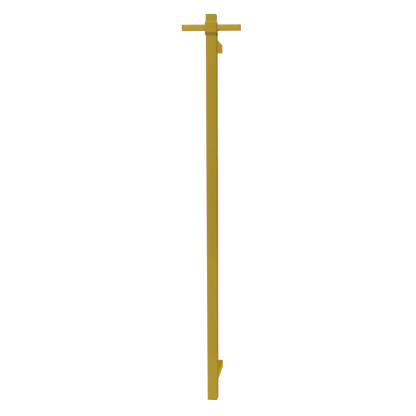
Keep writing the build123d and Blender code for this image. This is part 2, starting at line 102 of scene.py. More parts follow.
class ShaderTree:
    """A material under construction, with short calls for the nodes that the finishes share."""

    EDGE_SAMPLES = 6
    EDGE_FULL = 0.72   # cosine between the rounded and the true normal at an edge
    EDGE_NONE = 0.99   # and where the edge no longer counts

    def __init__(self, name: str) -> None:
        """Starts a material that holds one Principled surface.

        Args:
            name: The material's name.
        """
        self.material = bpy.data.materials.new(name)
        self.material.use_nodes = True
        self.nodes = self.material.node_tree.nodes
        self.links = self.material.node_tree.links
        self.nodes.clear()
        self.surface = self.nodes.new("ShaderNodeBsdfPrincipled")
        output = self.nodes.new("ShaderNodeOutputMaterial")
        self.links.new(self.surface.outputs["BSDF"], output.inputs["Surface"])

    def put(self, target: Socket, value: object) -> None:
        """Links value to target where it is a socket, and sets it there where it is a constant."""
        if isinstance(value, bpy.types.NodeSocket):
            self.links.new(value, target)
        else:
            target.default_value = value

    def add(self, kind: str, inputs: dict[str | int, object], **settings: object) -> bpy.types.Node:
        """Adds a node.

        Args:
            kind: The node's type name.
            inputs: Values or sockets for the node's inputs, by name or by number.
            settings: Values for the node's own properties.

        Returns:
            The new node.
        """
        node = self.nodes.new(kind)
        for name, value in settings.items():
            setattr(node, name, value)
        for key, value in inputs.items():
            self.put(node.inputs[key], value)
        return node

    def noise(self, stretch: Triple, frequency: float, detail: float) -> Socket:
        """A noise from 0 to 1 that is fixed to the piece.

        Args:
            stretch: How much the pattern shrinks on X, Y and Z.
            frequency: Blotches or lines to a metre.
            detail: Levels of finer noise.

        Returns:
            The noise's value.
        """
        place = self.add("ShaderNodeTexCoord", {}).outputs["Object"]
        scale = tuple(frequency * part for part in stretch)
        mapped = self.add("ShaderNodeMapping", {"Vector": place, "Scale": scale})
        inputs = {"Vector": mapped.outputs["Vector"], "Scale": 1.0, "Detail": detail}
        return self.add("ShaderNodeTexNoise", inputs).outputs[0]

    def fit(self, value: Socket, low: float, high: float, to_low: float, to_high: float) -> Socket:
        """Turns value's range from low to high into to_low to to_high, and clamps it there."""
        inputs = {"Value": value, "From Min": low, "From Max": high, "To Min": to_low,
                  "To Max": to_high}
        return self.add("ShaderNodeMapRange", inputs).outputs["Result"]

    def blend(self, share: Socket, first: object, second: object) -> Socket:
        """A colour between first, where share is 0, and second, where it is 1."""
        mix = self.add("ShaderNodeMix", {0: share, 6: first, 7: second}, data_type="RGBA")
        return mix.outputs[2]

    def arris(self, reach: float) -> Socket:
        """How near an outer or inner edge a point lies.

        Args:
            reach: Width of the band along an edge.

        Returns:
            A mask that is 1 at an edge and 0 beyond reach.
        """
        bevel = self.add("ShaderNodeBevel", {"Radius": reach}, samples=self.EDGE_SAMPLES)
        true = self.add("ShaderNodeNewGeometry", {}).outputs["Normal"]
        dot = self.add("ShaderNodeVectorMath", {0: bevel.outputs["Normal"], 1: true},
                       operation="DOT_PRODUCT")
        return self.fit(dot.outputs["Value"], self.EDGE_FULL, self.EDGE_NONE, 1.0, 0.0)

    def bump(self, height: Socket, depth: float) -> None:
        """Raises the surface by depth where height is 1."""
        inputs = {"Height": height, "Strength": 1.0, "Distance": depth}
        raised = self.add("ShaderNodeBump", inputs).outputs["Normal"]
        self.put(self.surface.inputs["Normal"], raised)


@dataclass(frozen=True)
class BrushedMetal:
    """Metal with fine parallel scratches, slow changes of tone, and a band of the edge colour along
    outer and inner edges: painted shade on the brasses, and lighter edges and creases on the other
    metals.
    """

    slot: str
    colour: Colour
    shade: Colour
    edge: Colour
    tint: Colour
    roughness: tuple[float, float] = (0.30, 0.44)
    line_frequency: float = 2400.0
    line_detail: float = 3.0
    line_share: float = 0.35
    line_depth: float = 0.006 * MM
    cloud_frequency: float = 7.0
    cloud_detail: float = 2.0
    cloud_share: float = 0.5
    edge_reach: float = 1.2 * MM
    edge_share: float = 0.5
    anisotropy: float = 0.45

    def material(self, name: str, grain: Grain) -> bpy.types.Material:
        """Builds the finish.

        Args:
            name: The material's name.
            grain: The way that the scratches run.

        Returns:
            The material.
        """
        tree = ShaderTree(name)
        lines = tree.noise(grain.stretch, self.line_frequency, self.line_detail)
        clouds = tree.noise(Grain.NONE.stretch, self.cloud_frequency, self.cloud_detail)
        tone = tree.blend(tree.fit(clouds, 0.35, 0.65, 0.0, self.cloud_share),
                          (*self.colour, 1.0), (*self.shade, 1.0))
        streak = tree.fit(lines, 0.3, 0.7, 0.0, self.line_share)
        streaked = tree.blend(streak, tone, (*self.shade, 1.0))
        # Band along outer and inner edges in the edge colour: painted shade on the brasses, whose
        # edge colour is darker than their base; on the steels and aluminium the edge colour is
        # lighter.
        band = tree.fit(tree.arris(self.edge_reach), 0.0, 1.0, 0.0, self.edge_share)
        edge_banded = tree.blend(band, streaked, (*self.edge, 1.0))
        surface = tree.surface.inputs
        tree.put(surface["Base Color"], edge_banded)
        tree.put(surface["Roughness"], tree.fit(lines, 0.25, 0.75, *self.roughness))
        tree.put(surface["Metallic"], 1.0)
        tree.put(surface["Specular Tint"], (*self.tint, 1.0))
        if grain is not Grain.NONE:
            across = tree.add("ShaderNodeTangent", {}, direction_type="RADIAL", axis=grain.value)
            tree.put(surface["Tangent"], across.outputs["Tangent"])
            tree.put(surface["Anisotropic"], self.anisotropy)
        tree.bump(lines, self.line_depth)
        return tree.material


@dataclass(frozen=True)
class MouldedFinish:
    """Rubber, nylon or plastic as it leaves the mould or the extruder."""

    slot: str
    colour: Colour
    shade: Colour
    roughness: tuple[float, float] = (0.48, 0.66)
    speck_frequency: float = 1800.0
    speck_detail: float = 2.0
    speck_share: float = 0.3
    speck_depth: float = 0.012 * MM
    cloud_frequency: float = 60.0
    cloud_detail: float = 3.0
    cloud_share: float = 0.7

    def material(self, name: str, grain: Grain) -> bpy.types.Material:
        """Builds the finish.

        Args:
            name: The material's name.
            grain: The way that the surface was drawn, where it was.

        Returns:
            The material.
        """
        tree = ShaderTree(name)
        specks = tree.noise(grain.stretch, self.speck_frequency, self.speck_detail)
        clouds = tree.noise(Grain.NONE.stretch, self.cloud_frequency, self.cloud_detail)
        tone = tree.blend(tree.fit(clouds, 0.3, 0.7, 0.0, self.cloud_share),
                          (*self.colour, 1.0), (*self.shade, 1.0))
        speck = tree.fit(specks, 0.35, 0.65, 0.0, self.speck_share)
        speckled = tree.blend(speck, tone, (*self.shade, 1.0))
        surface = tree.surface.inputs
        tree.put(surface["Base Color"], speckled)
        tree.put(surface["Roughness"], tree.fit(specks, 0.3, 0.7, *self.roughness))
        tree.bump(specks, self.speck_depth)
        return tree.material


Finish = BrushedMetal | MouldedFinish


class Palette(Enum):
    """Every finish on the rail. The brasses share one slot and are one brass; the tones of the
    collar, arm, sleeve, head and ring copies are painted light and shade: the arms lighter, the
    collar, sleeves and head shifted a little in tone and tint, and the ring darker as painted
    shade.
    """

    BRASS = BrushedMetal("brushed_brass", (0.355, 0.242, 0.0262), (0.300, 0.204, 0.022),
                         (0.262, 0.152, 0.0155), (0.61, 0.44, 0.065))
    # Collar copy of the brass: tone and tint shifted a little, painted light for how light falls on
    # the collar.
    COLLAR_BRASS = BrushedMetal("brushed_brass", (0.365, 0.238, 0.0235), (0.310, 0.202, 0.020),
                                (0.280, 0.162, 0.0155), (0.78, 0.61, 0.16))
    # Arm copy of the brass: lighter, painted light for the light that falls on the arms.
    ARM_BRASS = BrushedMetal("brushed_brass", (0.438, 0.284, 0.0252), (0.370, 0.240, 0.021),
                             (0.300, 0.168, 0.0150), (0.56, 0.40, 0.07))
    # Sleeve copy of the brass: lighter tint, painted light that brightens the sleeves' sides.
    SLEEVE_BRASS = BrushedMetal("brushed_brass", (0.362, 0.246, 0.0258), (0.306, 0.207, 0.022),
                                (0.267, 0.155, 0.0155), (0.78, 0.64, 0.23))
    # Head copy of the brass: a little lighter, with less painted edge shade.
    HEAD_BRASS = BrushedMetal("brushed_brass", (0.368, 0.254, 0.0268), (0.312, 0.214, 0.0226),
                              (0.30, 0.190, 0.0190), (0.56, 0.40, 0.07), edge_reach=0.5 * MM,
                              edge_share=0.1)
    # Seat ring: the brass made darker, painted shade for the shadow under the collar.
    RING = BrushedMetal("bronzed_ring", (0.262, 0.158, 0.0185), (0.216, 0.128, 0.0165),
                        (0.180, 0.107, 0.0155), (0.45, 0.32, 0.12), edge_reach=0.6 * MM)
    SCREW = BrushedMetal("screw_steel", (0.47, 0.465, 0.45), (0.37, 0.365, 0.35),
                         (0.60, 0.59, 0.575), (0.85, 0.85, 0.85), edge_reach=0.3 * MM,
                         line_frequency=4200.0, line_depth=0.004 * MM)
    SPRING = BrushedMetal("spring_steel", (0.42, 0.43, 0.45), (0.34, 0.35, 0.37),
                          (0.55, 0.55, 0.56), (0.9, 0.9, 0.9), edge_reach=0.3 * MM)
    ANCHOR = BrushedMetal("anchor_steel", (0.34, 0.335, 0.325), (0.26, 0.255, 0.245),
                          (0.46, 0.455, 0.44), (0.8, 0.8, 0.78), line_frequency=1300.0,
                          line_depth=0.012 * MM, edge_reach=0.8 * MM)
    CARRIER = BrushedMetal("carrier_aluminium", (0.72, 0.73, 0.74), (0.62, 0.63, 0.65),
                           (0.8, 0.8, 0.8), (0.95, 0.95, 0.95), edge_reach=0.5 * MM)
    RUBBER = MouldedFinish("dark_rubber", (0.022, 0.021, 0.020), (0.040, 0.038, 0.036))
    NYLON = MouldedFinish("pale_nylon", (0.72, 0.70, 0.63), (0.62, 0.60, 0.53), (0.38, 0.5))
    SILICONE = MouldedFinish("heater_silicone", (0.36, 0.035, 0.014), (0.29, 0.026, 0.011))
    JACKET = MouldedFinish("lead_jacket", (0.78, 0.78, 0.74), (0.68, 0.68, 0.64), (0.4, 0.55))
    BLACK = MouldedFinish("moulded_black", (0.018, 0.018, 0.019), (0.034, 0.034, 0.035))


class FinishShelf:
    """Keeps one material for each pair of finish and grain."""

    def __init__(self) -> None:
        """Starts with no material made."""
        self.made: dict[tuple[Palette, Grain], bpy.types.Material] = {}

    def get(self, finish: Palette, grain: Grain) -> bpy.types.Material:
        """The material of a finish with its grain one way, made on first use."""
        key = (finish, grain)
        if key not in self.made:
            name = f"{finish.name}_{grain.name}".lower()
            self.made[key] = finish.value.material(name, grain)
        return self.made[key]


SHELF = FinishShelf()


# Making and placing pieces


def mesh_object(name: str, mesh: bpy.types.Mesh) -> bpy.types.Object:
    """Puts a mesh in the scene as a new object.

    Args:
        name: The object's name, which the mesh takes too.
        mesh: The mesh, in its final place.

    Returns:
        The new object, at the origin.
    """
    mesh.name = name
    made = bpy.data.objects.new(name, mesh)
    bpy.context.scene.collection.objects.link(made)
    return made


def dress(piece: bpy.types.Object, finish: Palette, grain: Grain) -> None:
    """Gives every face of a piece one finish.

    Args:
        piece: The piece.
        finish: Its finish.
        grain: The way that the finish's lines run.
    """
    piece.data.materials.clear()
    piece.data.materials.append(SHELF.get(finish, grain))


def install(piece: bpy.types.Object, body: Body, finish: Palette, *nodes: str) -> bpy.types.Object:
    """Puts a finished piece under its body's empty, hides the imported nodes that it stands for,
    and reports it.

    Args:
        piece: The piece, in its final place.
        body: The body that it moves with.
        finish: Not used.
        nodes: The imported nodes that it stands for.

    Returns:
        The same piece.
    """
    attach(piece, body.value)
    if nodes:
        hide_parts(*nodes)
    LOG.info("%s: %d faces, on %s", piece.name, len(piece.data.polygons), body.value)
    return piece


def evaluated_copy(source: bpy.types.Object, name: str) -> bpy.types.Object:
    """Turns an object with live modifiers into a plain mesh object, and removes the original.

    Args:
        source: The object with modifiers, at the origin.
        name: The plain object's name.

    Returns:
        The plain object.
    """
    graph = bpy.context.evaluated_depsgraph_get()
    mesh = bpy.data.meshes.new_from_object(source.evaluated_get(graph), depsgraph=graph)
    bpy.data.objects.remove(source)
    return mesh_object(name, mesh)


def shade_by_angle(piece: bpy.types.Object, degrees: float) -> None:
    """Shades a piece smooth, apart from edges sharper than an angle."""
    piece.data.shade_smooth()
    piece.data.set_sharp_from_angle(angle=math.radians(degrees))


def node_size(node: str) -> tuple[Vector, Vector]:
    """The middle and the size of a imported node's box."""
    low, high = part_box(node)
    return (low + high) / 2, high - low


@dataclass
class EasedEdges:
    """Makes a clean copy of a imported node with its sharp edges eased, as after deburring."""

    width: float = 0.25 * MM
    segments: int = 3
    sharp_degrees: float = 15.0
    merge: float = 0.001 * MM
    flat_degrees: float = 0.4

    def clean_mesh(self, node: str) -> bpy.types.Mesh:
        """Copies a node's mesh, welds its corners and joins its flat triangles.

        Args:
            node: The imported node.

        Returns:
            The cleaned mesh.
        """
        shell = bmesh.new()
        shell.from_mesh(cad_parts[node].data)
        bmesh.ops.remove_doubles(shell, verts=shell.verts[:], dist=self.merge)
        bmesh.ops.dissolve_limit(shell, angle_limit=math.radians(self.flat_degrees),
                                 verts=shell.verts[:], edges=shell.edges[:])
        mesh = bpy.data.meshes.new(node)
        shell.to_mesh(mesh)
        shell.free()
        stored = mesh.attributes.get("custom_normal")
        if stored:
            mesh.attributes.remove(stored)
        return mesh

    def make(self, node: str, name: str, finish: Palette, grain: Grain) -> bpy.types.Object:
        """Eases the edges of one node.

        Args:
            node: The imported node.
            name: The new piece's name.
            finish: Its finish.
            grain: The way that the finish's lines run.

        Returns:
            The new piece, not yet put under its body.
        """
        rough = mesh_object(name + "_rough", self.clean_mesh(node))
        rough.data.shade_smooth()
        ease = rough.modifiers.new("ease", "BEVEL")
        ease.width = self.width
        ease.segments = self.segments
        ease.limit_method = "ANGLE"
        ease.angle_limit = math.radians(self.sharp_degrees)
        ease.harden_normals = True
        piece = evaluated_copy(rough, name)
        dress(piece, finish, grain)
        return piece


# Geometry Nodes


class GeometryTree:
    """A Geometry Nodes tree under construction, with named inputs, and its bake to a plain mesh."""

    KINDS = {float: "NodeSocketFloat", int: "NodeSocketInt", tuple: "NodeSocketVector"}
    SHARP_DEGREES = 38.0

    def __init__(self, name: str, inputs: dict[str, float | int | Triple]) -> None:
        """Starts a tree.

        Args:
            name: The tree's name.
            inputs: The name and default of each size that the tree takes.
        """
        self.tree = bpy.data.node_groups.new(name, "GeometryNodeTree")
        sockets = self.tree.interface
        sockets.new_socket("Geometry", in_out="OUTPUT", socket_type="NodeSocketGeometry")
        geometry = sockets.new_socket("Geometry", in_out="INPUT", socket_type="NodeSocketGeometry")
        self.identifiers = {"Geometry": geometry.identifier}
        for label, value in inputs.items():
            kind = self.KINDS[type(value)]
            socket = sockets.new_socket(label, in_out="INPUT", socket_type=kind)
            socket.default_value = value
            self.identifiers[label] = socket.identifier
        finish = sockets.new_socket("Finish", in_out="INPUT", socket_type="NodeSocketMaterial")
        self.identifiers["Finish"] = finish.identifier
        self.given = self.tree.nodes.new("NodeGroupInput").outputs
        self.result = self.tree.nodes.new("NodeGroupOutput")

    def add(self, kind: str, inputs: dict[str | int, object], **settings: object) -> bpy.types.Node:
        """Adds a node.

        Args:
            kind: The node's type name.
            inputs: Values or sockets for the node's inputs, by name or by number.
            settings: Values for the node's own properties.

        Returns:
            The new node.
        """
        node = self.tree.nodes.new(kind)
        for name, value in settings.items():
            setattr(node, name, value)
        for key, value in inputs.items():
            if isinstance(value, bpy.types.NodeSocket):
                self.tree.links.new(value, node.inputs[key])
            else:
                node.inputs[key].default_value = value
        return node

    def maths(self, operation: str, first: object, second: object = 0.0) -> Socket:
        """One step of arithmetic on two values or sockets."""
        return self.add("ShaderNodeMath", {0: first, 1: second}, operation=operation).outputs[0]

    def vector(self, x: object, y: object, z: object) -> Socket:
        """A vector from three values or sockets."""
        return self.add("ShaderNodeCombineXYZ", {0: x, 1: y, 2: z}).outputs[0]

    def cylinder(self, vertices: int, rings: object, radius: object, depth: object) -> Socket:
        """A closed cylinder on Z, centred on the origin."""
        inputs = {"Vertices": vertices, "Side Segments": rings, "Radius": radius, "Depth": depth}
        return self.add("GeometryNodeMeshCylinder", inputs, fill_type="NGON").outputs["Mesh"]

    def block(self, size: Socket) -> Socket:
        """A block centred on the origin."""
        return self.add("GeometryNodeMeshCube", {"Size": size}).outputs["Mesh"]

    def hexagon_tool(self) -> Socket:
        """A hexagonal cutter of the given Socket Radius, twice the Socket Depth long."""
        depth = self.maths("MULTIPLY", self.given["Socket Depth"], 2.0)
        return self.cylinder(HEXAGON, 1, self.given["Socket Radius"], depth)

    def move(self, geometry: Socket, offset: object, turn: object = NO_TURN) -> Socket:
        """Turns and then moves a geometry."""
        inputs = {"Geometry": geometry, "Translation": offset, "Rotation": turn}
        return self.add("GeometryNodeTransform", inputs).outputs["Geometry"]

    def cut(self, solid: Socket, *tools: Socket) -> Socket:
        """Takes the tools away from a solid."""
        node = self.add("GeometryNodeMeshBoolean", {"Mesh 1": solid}, operation="DIFFERENCE",
                        solver="EXACT")
        for tool in tools:
            self.tree.links.new(tool, node.inputs["Mesh 2"])
        return node.outputs["Mesh"]

    def unite(self, *solids: Socket) -> Socket:
        """Joins overlapping solids into one."""
        node = self.add("GeometryNodeMeshBoolean", {}, operation="UNION", solver="EXACT")
        for solid in solids:
            self.tree.links.new(solid, node.inputs["Mesh 2"])
        return node.outputs["Mesh"]

    def pinch(self, geometry: Socket, share: Socket) -> Socket:
        """Draws each point towards the Z axis by a share of its distance."""
        keep = self.maths("SUBTRACT", 1.0, share)
        place = self.add("GeometryNodeInputPosition", {}).outputs[0]
        scaled = self.add("ShaderNodeVectorMath", {0: place, 1: self.vector(keep, keep, 1.0)},
                          operation="MULTIPLY").outputs[0]
        inputs = {"Geometry": geometry, "Position": scaled}
        return self.add("GeometryNodeSetPosition", inputs).outputs["Geometry"]

    def thread(self, rod: Socket, pitch: Socket, share: Socket, length: Socket) -> Socket:
        """Cuts a helical thread in a rod on Z, and tapers the rod's two ends.

        Args:
            rod: A cylinder with many rings.
            pitch: The thread's pitch.
            share: The thread's depth as a share of the radius.
            length: The rod's length.

        Returns:
            The threaded rod.
        """
        place = self.add("GeometryNodeInputPosition", {}).outputs[0]
        x, y, z = self.add("ShaderNodeSeparateXYZ", {0: place}).outputs
        turns = self.maths("DIVIDE", self.maths("ARCTAN2", y, x), 2 * math.pi)
        phase = self.maths("FRACT", self.maths("SUBTRACT", self.maths("DIVIDE", z, pitch), turns))
        flank = self.maths("ABSOLUTE", self.maths("SUBTRACT", phase, 0.5))
        groove = self.maths("MULTIPLY", self.maths("MULTIPLY", flank, 2.0), share)
        inner_end = self.maths("SUBTRACT", self.maths("MULTIPLY", length, 0.5), pitch)
        beyond = self.maths("SUBTRACT", self.maths("ABSOLUTE", z), inner_end)
        past = self.maths("DIVIDE", beyond, pitch)
        taper = self.maths("MULTIPLY", self.maths("MAXIMUM", past, 0.0), share)
        return self.pinch(rod, self.maths("MAXIMUM", groove, taper))

    def row(self, geometry: Socket) -> Socket:
        """Repeats a geometry Count times from Start, Step apart."""
        inputs = {"Count": self.given["Count"], "Start Location": self.given["Start"],
                  "Offset": self.given["Step"]}
        points = self.add("GeometryNodeMeshLine", inputs, mode="OFFSET").outputs["Mesh"]
        placed = self.add("GeometryNodeInstanceOnPoints", {"Points": points, "Instance": geometry})
        return placed.outputs["Instances"]

    def close(self, geometry: Socket) -> "GeometryTree":
        """Ends the tree with real faces in the given finish, and returns it."""
        real = self.add("GeometryNodeRealizeInstances", {"Geometry": geometry}).outputs[0]
        inputs = {"Geometry": real, "Material": self.given["Finish"]}
        dressed = self.add("GeometryNodeSetMaterial", inputs).outputs["Geometry"]
        self.tree.links.new(dressed, self.result.inputs[0])
        return self

    def bake(self, name: str, finish: Palette, grain: Grain, values: dict[str, object],
             carrier: bpy.types.ID | None = None) -> bpy.types.Object:
        """Runs the tree and keeps its result as a plain mesh.

        Args:
            name: The piece's name.
            finish: Its finish.
            grain: The way that the finish's lines run.
            values: Sizes that differ from the defaults, by input name.
            carrier: The curve or mesh that the tree works on, where it needs one.

        Returns:
            The piece, not yet put under its body.
        """
        data = carrier or bpy.data.meshes.new(name + "_seed")
        seed = bpy.data.objects.new(name + "_seed", data)
        bpy.context.scene.collection.objects.link(seed)
        modifier = seed.modifiers.new("build", "NODES")
        modifier.node_group = self.tree
        for label, value in values.items():
            modifier[self.identifiers[label]] = value
        modifier[self.identifiers["Finish"]] = SHELF.get(finish, grain)
        piece = evaluated_copy(seed, name)
        shade_by_angle(piece, self.SHARP_DEGREES)
        return piece


ROW = {"Count": 1, "Start": (0.0, 0.0, 0.0), "Step": (0.0, 0.0, 0.0)}


def set_screw_tree() -> GeometryTree:
    """A threaded set screw with a hexagon socket in the end that faces +Z before Turn."""
    tree = GeometryTree("set_screws", {
        "Radius": 2.0 * MM, "Length": 4.0 * MM, "Pitch": 0.7 * MM, "Thread Share": 0.14,
        "Socket Radius": 1.15 * MM, "Socket Depth": 1.6 * MM, "Turn": NO_TURN, **ROW})
    given = tree.given
    rings = tree.maths("MULTIPLY", tree.maths("DIVIDE", given["Length"], given["Pitch"]), 8.0)
    rod = tree.cylinder(36, rings, given["Radius"], given["Length"])
    threaded = tree.thread(rod, given["Pitch"], given["Thread Share"], given["Length"])
    top = tree.vector(0.0, 0.0, tree.maths("MULTIPLY", given["Length"], 0.5))
    screw = tree.cut(threaded, tree.move(tree.hexagon_tool(), top))
    return tree.close(tree.row(tree.move(screw, NO_TURN, given["Turn"])))


def socket_bolt_tree() -> GeometryTree:
    """A socket head bolt, its knurled head on +Z and its seat at the origin before Turn."""
    tree = GeometryTree("socket_bolts", {
        "Radius": 3.0 * MM, "Length": 18.0 * MM, "Pitch": 1.0 * MM, "Thread Share": 0.14,
        "Head Radius": 5.0 * MM, "Head Height": 6.0 * MM, "Knurls": 16.0, "Knurl Share": 0.035,
        "Rim Share": 0.06, "Socket Radius": 2.9 * MM, "Socket Depth": 3.2 * MM,
        "Overlap": 0.5 * MM, "Turn": NO_TURN, **ROW})
    given = tree.given
    rings = tree.maths("MULTIPLY", tree.maths("DIVIDE", given["Length"], given["Pitch"]), 6.0)
    rod = tree.cylinder(32, rings, given["Radius"], given["Length"])
    shank = tree.thread(rod, given["Pitch"], given["Thread Share"], given["Length"])
    low = tree.maths("SUBTRACT", given["Overlap"], tree.maths("MULTIPLY", given["Length"], 0.5))
    shank = tree.move(shank, tree.vector(0.0, 0.0, low))
    drum = tree.cylinder(128, 5, given["Head Radius"], given["Head Height"])
    place = tree.add("GeometryNodeInputPosition", {}).outputs[0]
    x, y, z = tree.add("ShaderNodeSeparateXYZ", {0: place}).outputs
    around = tree.maths("MULTIPLY", tree.maths("ARCTAN2", y, x), given["Knurls"])
    wave = tree.maths("COSINE", around)
    ridge = tree.maths("MULTIPLY", tree.maths("ABSOLUTE", wave), given["Knurl Share"])
    half = tree.maths("MULTIPLY", given["Head Height"], 0.5)
    rim = tree.maths("GREATER_THAN", tree.maths("ABSOLUTE", z), tree.maths("MULTIPLY", half, 0.9))
    edge = tree.maths("MULTIPLY", rim, given["Rim Share"])
    head = tree.pinch(drum, tree.maths("MAXIMUM", ridge, edge))
    head = tree.move(head, tree.vector(0.0, 0.0, half))
    tool = tree.move(tree.hexagon_tool(), tree.vector(0.0, 0.0, given["Head Height"]))
    bolt = tree.cut(tree.unite(shank, head), tool)
    return tree.close(tree.row(tree.move(bolt, NO_TURN, given["Turn"])))


def washer_tree() -> GeometryTree:
    """A flat washer with rounded rims, on Z before Turn."""
    tree = GeometryTree("washers", {
        "Inner Radius": 3.2 * MM, "Outer Radius": 5.4 * MM, "Thickness": 1.4 * MM,
        "Rim": 0.25 * MM, "Turn": NO_TURN, **ROW})
    given = tree.given
    both = tree.maths("ADD", given["Inner Radius"], given["Outer Radius"])
    middle = tree.maths("MULTIPLY", both, 0.5)
    width = tree.maths("SUBTRACT", given["Outer Radius"], given["Inner Radius"])
    circle = tree.add("GeometryNodeCurvePrimitiveCircle", {"Resolution": 72, "Radius": middle})
    path = circle.outputs[0]
    section = tree.add("GeometryNodeCurvePrimitiveQuadrilateral",
                       {"Width": width, "Height": given["Thickness"]}).outputs[0]
    rounded = tree.add("GeometryNodeFilletCurve",
                       {"Curve": section, "Radius": given["Rim"], "Count": 3},
                       mode="POLY").outputs[0]
    ring = tree.add("GeometryNodeCurveToMesh", {"Curve": path, "Profile Curve": rounded}).outputs[0]
    return tree.close(tree.row(tree.move(ring, NO_TURN, given["Turn"])))


def clip_tree() -> GeometryTree:
    """Clips for two runs of cable: a block with two channels open towards -Y."""
    tree = GeometryTree("cable_clips", {
        "Width": 19.0 * MM, "Depth": 5.2 * MM, "Height": 8.0 * MM, "Channel Radius": 2.05 * MM,
        "Channel Offset": 6.0 * MM, "Channel Depth": 2.1 * MM, **ROW})
    given = tree.given
    block = tree.block(tree.vector(given["Width"], given["Depth"], given["Height"]))
    tall = tree.maths("MULTIPLY", given["Height"], 1.5)
    half_depth = tree.maths("MULTIPLY", given["Depth"], 0.5)
    centre_y = tree.maths("SUBTRACT", given["Channel Depth"], half_depth)
    mouth = tree.vector(tree.maths("MULTIPLY", given["Channel Radius"], 2.0), given["Depth"], tall)
    mouth_y = tree.maths("SUBTRACT", centre_y, half_depth)
    tools = []
    for side in (-1.0, 1.0):
        x = tree.maths("MULTIPLY", given["Channel Offset"], side)
        bore = tree.cylinder(40, 1, given["Channel Radius"], tall)
        tools.append(tree.move(bore, tree.vector(x, centre_y, 0.0)))
        tools.append(tree.move(tree.block(mouth), tree.vector(x, mouth_y, 0.0)))
    return tree.close(tree.row(tree.cut(block, tree.unite(*tools))))


def leaf_spring_tree() -> GeometryTree:
    """Bowed leaf springs: an arc in the YZ plane whose crown faces +Y at the origin."""
    tree = GeometryTree("leaf_springs", {
        "Chord": 76.0 * MM, "Rise": 20.0 * MM, "Width": 6.0 * MM, "Thickness": 0.5 * MM,
        "Edge Radius": 0.12 * MM, **ROW})
    given = tree.given
    half_chord = tree.maths("MULTIPLY", given["Chord"], 0.5)
    squares = tree.maths("ADD", tree.maths("POWER", half_chord, 2.0),
                         tree.maths("POWER", given["Rise"], 2.0))
    radius = tree.maths("DIVIDE", squares, tree.maths("MULTIPLY", given["Rise"], 2.0))
    reach = tree.maths("ARCSINE", tree.maths("DIVIDE", half_chord, radius))
    inputs = {"Resolution": 48, "Radius": radius,
              "Start Angle": tree.maths("MULTIPLY", reach, -1.0),
              "Sweep Angle": tree.maths("MULTIPLY", reach, 2.0)}
    arc = tree.add("GeometryNodeCurveArc", inputs, mode="RADIUS").outputs["Curve"]
    section = tree.add("GeometryNodeCurvePrimitiveQuadrilateral",
                       {"Width": given["Thickness"], "Height": given["Width"]}).outputs[0]
    eased = tree.add("GeometryNodeFilletCurve",
                     {"Curve": section, "Radius": given["Edge Radius"], "Count": 2},
                     mode="POLY").outputs[0]
    leaf = tree.add("GeometryNodeCurveToMesh",
                    {"Curve": arc, "Profile Curve": eased, "Fill Caps": True}).outputs[0]
    outer = tree.maths("ADD", radius, tree.maths("MULTIPLY", given["Thickness"], 0.5))
    crown = tree.move(leaf, tree.vector(tree.maths("MULTIPLY", outer, -1.0), 0.0, 0.0))
    quarter = math.pi / 2
    return tree.close(tree.row(tree.move(crown, NO_TURN, (quarter, 0.0, quarter))))


def tube_tree() -> GeometryTree:
    """A round tube along a drawn route, its corners turned with one bend radius."""
    tree = GeometryTree("tube_on_route", {"Radius": 2.0 * MM, "Bend Radius": 10.0 * MM})
    given = tree.given
    bends = {"Curve": given["Geometry"], "Count": 14, "Radius": given["Bend Radius"]}
    bent = tree.add("GeometryNodeFilletCurve", bends, mode="POLY").outputs[0]
    section = tree.add("GeometryNodeCurvePrimitiveCircle",
                       {"Resolution": 28, "Radius": given["Radius"]})
    tube = tree.add("GeometryNodeCurveToMesh", {"Curve": bent, "Profile Curve": section.outputs[0],
                                                "Fill Caps": True}).outputs[0]
    return tree.close(tube)


def route_curve(name: str, points: list[Triple]) -> bpy.types.Curve:
    """A curve of straight runs through points."""
    curve = bpy.data.curves.new(name, "CURVE")
    curve.dimensions = "3D"
    spline = curve.splines.new("POLY")
    spline.points.add(len(points) - 1)
    for place, point in zip(spline.points, points):
        place.co = (*point, 1.0)
    return curve


class Trees(Enum):
    """The rail's Geometry Nodes trees, each made once."""

    SET_SCREW = set_screw_tree()
    BOLT = socket_bolt_tree()
    WASHER = washer_tree()
    CLIP = clip_tree()
    SPRING = leaf_spring_tree()
    TUBE = tube_tree()


# Sub-assemblies


@dataclass
class Bar:
    """The upright bar: square tube, head with its tongue, foot cap, seals and seat ring."""

    body: Body = Body.RAIL
    ease: EasedEdges = field(default_factory=EasedEdges)
    seal_ease: EasedEdges = field(default_factory=lambda: EasedEdges(width=0.12 * MM, segments=2))

    def build(self) -> None:
        """Makes and installs every piece of the bar."""
        brass = {"bar_tube": Palette.BRASS, "bar_head": Palette.HEAD_BRASS,
                 "bottom_cap": Palette.BRASS}
        for node, finish in brass.items():
            piece = self.ease.make(node, node + "_eased", finish, Grain.UPRIGHT)
            install(piece, self.body, finish, node)
        ring = self.ease.make("seat_ring", "seat_ring_eased", Palette.RING, Grain.SIDEWAYS)
        install(ring, self.body, Palette.RING, "seat_ring")
        for node in ("head_seal", "bottom_seal"):
            seal = self.seal_ease.make(node, node + "_eased", Palette.RUBBER, Grain.NONE)
            install(seal, self.body, Palette.RUBBER, node)
        self.cap_screw()

    def cap_screw(self) -> None:
        """The set screw in the bar's back that holds the foot cap."""
        node = "bottom_cap_screw"
        middle, size = node_size(node)
        values = {"Radius": size.x / 2, "Length": size.y, "Start": tuple(middle),
                  "Turn": (-math.pi / 2, 0.0, 0.0)}
        screw = Trees.SET_SCREW.value.bake(node + "_threaded", Palette.SCREW, Grain.NONE, values)
        install(screw, self.body, Palette.SCREW, node)


